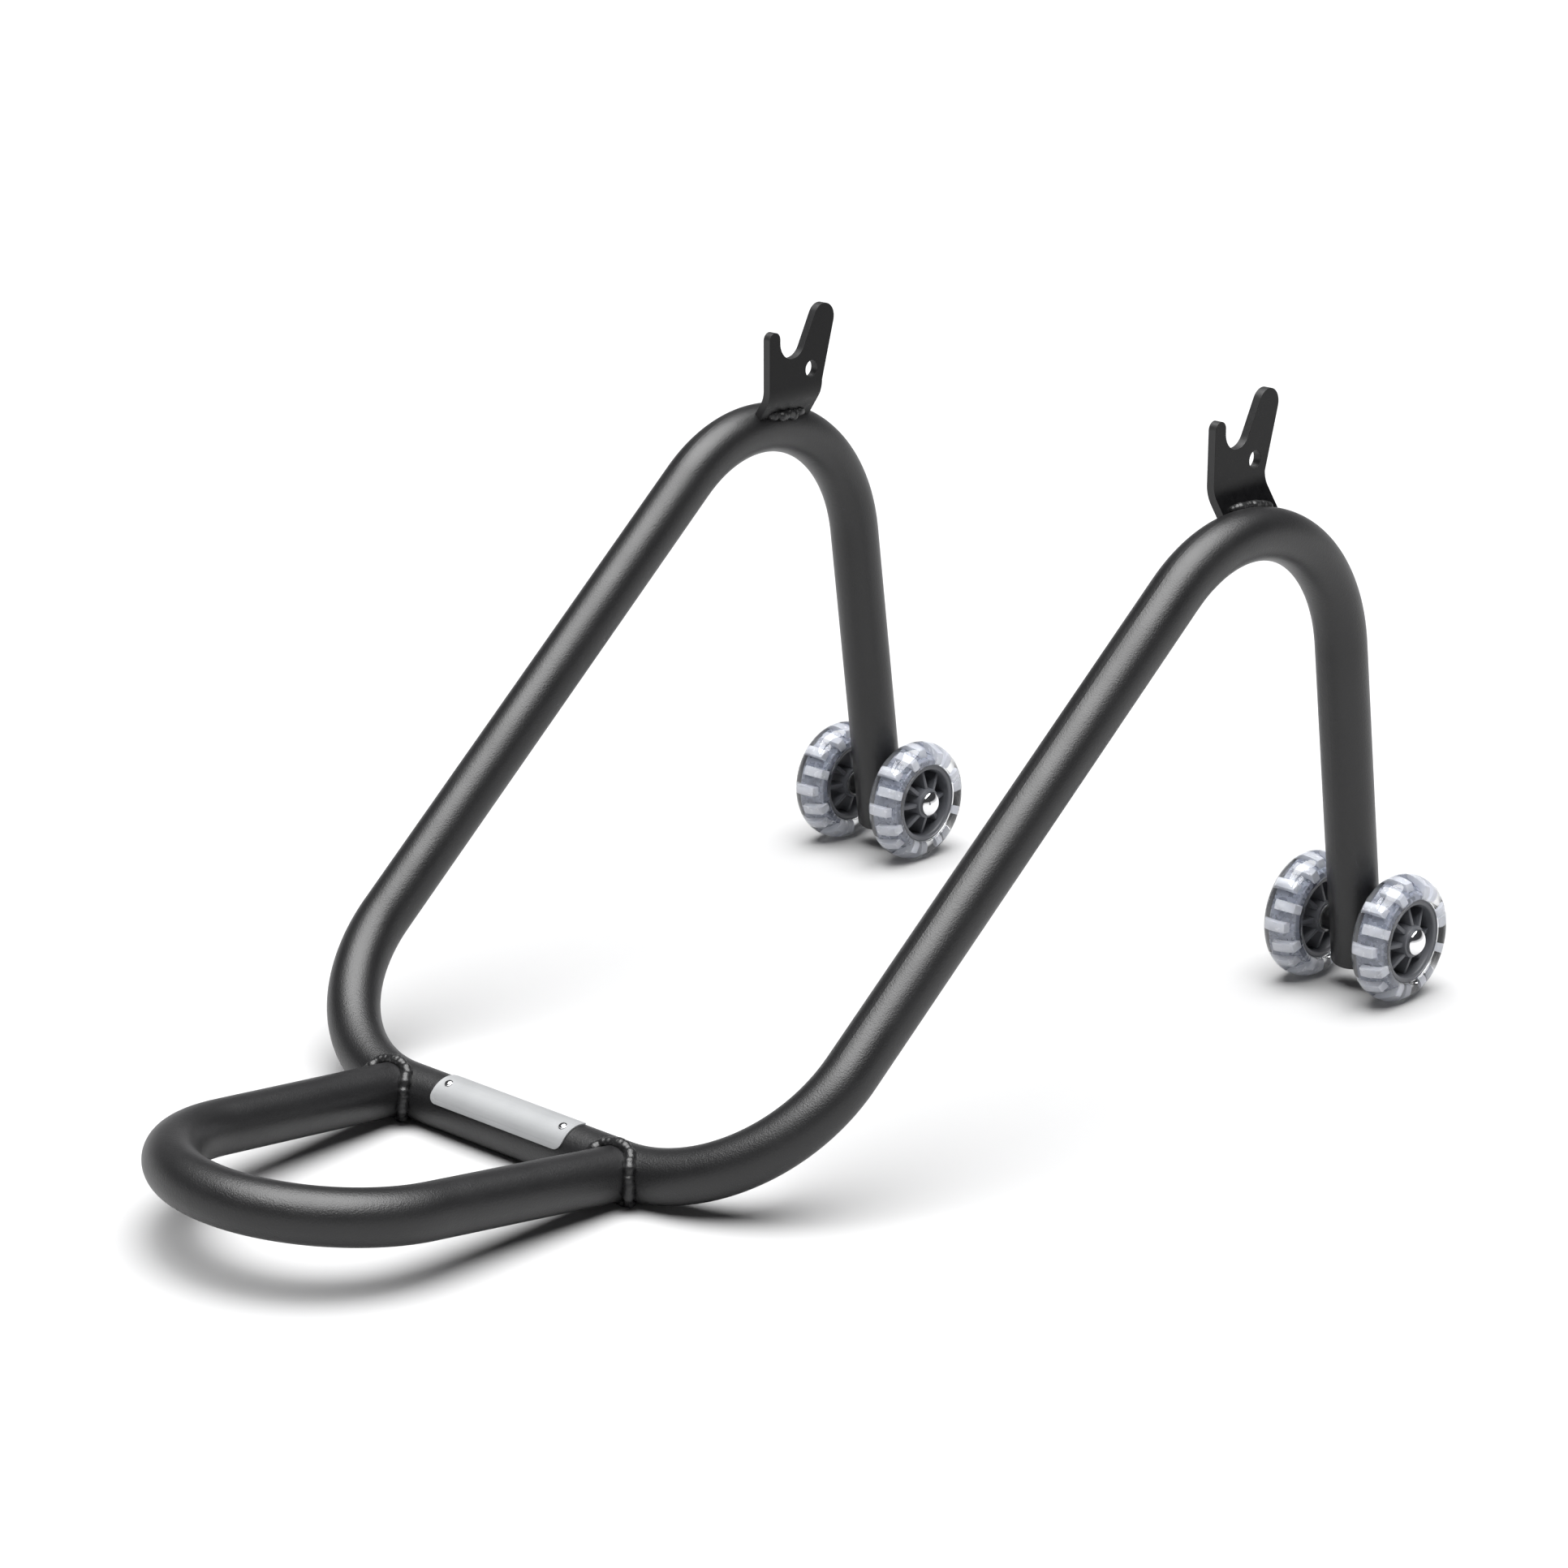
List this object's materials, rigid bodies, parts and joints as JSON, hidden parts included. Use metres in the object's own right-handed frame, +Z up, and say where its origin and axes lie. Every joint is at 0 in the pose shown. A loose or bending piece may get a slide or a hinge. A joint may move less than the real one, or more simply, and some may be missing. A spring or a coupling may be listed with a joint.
{
  "type": "paddock stand",
  "caption": "Rear paddock stand: bent black tube frame with a short loop handle, two welded lifting hooks and four clear 76 mm wheels on spoked cores.",
  "frame": {"origin": "on the floor, at the centre of the stand's outline seen from above", "axes": "+Z up, +Y from the handle towards the wheels, +X to the right of a person at the handle who faces the wheels"},
  "size_m": [0.4676, 0.771, 0.3716],
  "materials": {
    "powder_coat": "satin black powder coat",
    "plate_aluminium": "satin anodised",
    "rivet_steel": "polished",
    "black_plastic": "matt",
    "zinc_steel": "zinc plated",
    "hub_nylon": "moulded",
    "clear_urethane": "clear cast urethane",
    "chrome_cap": "polished"
  },
  "bodies": {
    "frame": {"crossbar_tube": "powder_coat", "corner_bend_left": "powder_coat", "corner_bend_right": "powder_coat", "arm_tube_left": "powder_coat", "arm_tube_right": "powder_coat", "arch_bend_left": "powder_coat", "arch_bend_right": "powder_coat", "leg_tube_left": "powder_coat", "leg_tube_right": "powder_coat", "handle_tube": "powder_coat", "handle_weld_left": "powder_coat", "handle_weld_right": "powder_coat", "hook_left": "powder_coat", "hook_right": "powder_coat", "hook_weld_left": "powder_coat", "hook_weld_right": "powder_coat", "nameplate": "plate_aluminium", "nameplate_rivets": "rivet_steel", "leg_plug_left": "black_plastic", "leg_plug_right": "black_plastic", "axle_sleeve_left": "powder_coat", "axle_sleeve_right": "powder_coat", "axle_left": "zinc_steel", "axle_right": "zinc_steel", "washer_left_outer": "zinc_steel", "push_cap_left_outer": "chrome_cap", "washer_left_inner": "zinc_steel", "push_cap_left_inner": "chrome_cap", "washer_right_outer": "zinc_steel", "push_cap_right_outer": "chrome_cap", "washer_right_inner": "zinc_steel", "push_cap_right_inner": "chrome_cap"},
    "wheel_left_outer": {"wheel_hub_left_outer": "hub_nylon", "wheel_tyre_left_outer": "clear_urethane"},
    "wheel_left_inner": {"wheel_hub_left_inner": "hub_nylon", "wheel_tyre_left_inner": "clear_urethane"},
    "wheel_right_outer": {"wheel_hub_right_outer": "hub_nylon", "wheel_tyre_right_outer": "clear_urethane"},
    "wheel_right_inner": {"wheel_hub_right_inner": "hub_nylon", "wheel_tyre_right_inner": "clear_urethane"}
  },
  "joints": [
    {"name": "spin_left_outer", "type": "hinge", "parent": "frame", "child": "wheel_left_outer", "pos_m": [-0.2172, 0.3475, 0.038], "axis": [1, 0, 0], "continuous": true},
    {"name": "spin_left_inner", "type": "hinge", "parent": "frame", "child": "wheel_left_inner", "pos_m": [-0.1548, 0.3475, 0.038], "axis": [1, 0, 0], "continuous": true},
    {"name": "spin_right_outer", "type": "hinge", "parent": "frame", "child": "wheel_right_outer", "pos_m": [0.2172, 0.3475, 0.038], "axis": [1, 0, 0], "continuous": true},
    {"name": "spin_right_inner", "type": "hinge", "parent": "frame", "child": "wheel_right_inner", "pos_m": [0.1548, 0.3475, 0.038], "axis": [1, 0, 0], "continuous": true}
  ]
}
